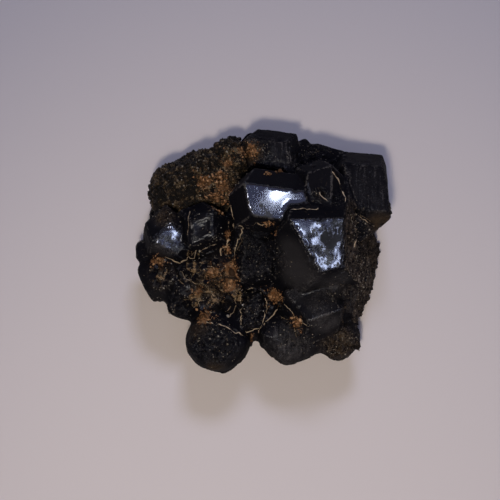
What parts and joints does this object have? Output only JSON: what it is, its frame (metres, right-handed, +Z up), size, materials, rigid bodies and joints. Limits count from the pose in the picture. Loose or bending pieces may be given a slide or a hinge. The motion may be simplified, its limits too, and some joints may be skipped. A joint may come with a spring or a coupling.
{
  "type": "garnet crystal cluster",
  "caption": "Cluster of intergrown black garnet dodecahedra on a patch of granular rock, with rusty earth in its seams; it rests on a broken flat underside.",
  "frame": {"origin": "middle of the footprint's bounding box, on the surface that it rests on", "axes": "+Z up, +X along the longest side, towards the broken flank; -Y is the side with the round overhanging lobes"},
  "size_m": [0.0488, 0.0472, 0.0258],
  "materials": {
    "garnet": "gloss",
    "matrix": "matte"
  },
  "bodies": {
    "root": {"garnet_cluster": "garnet", "matrix": "matrix"}
  },
  "joints": []
}
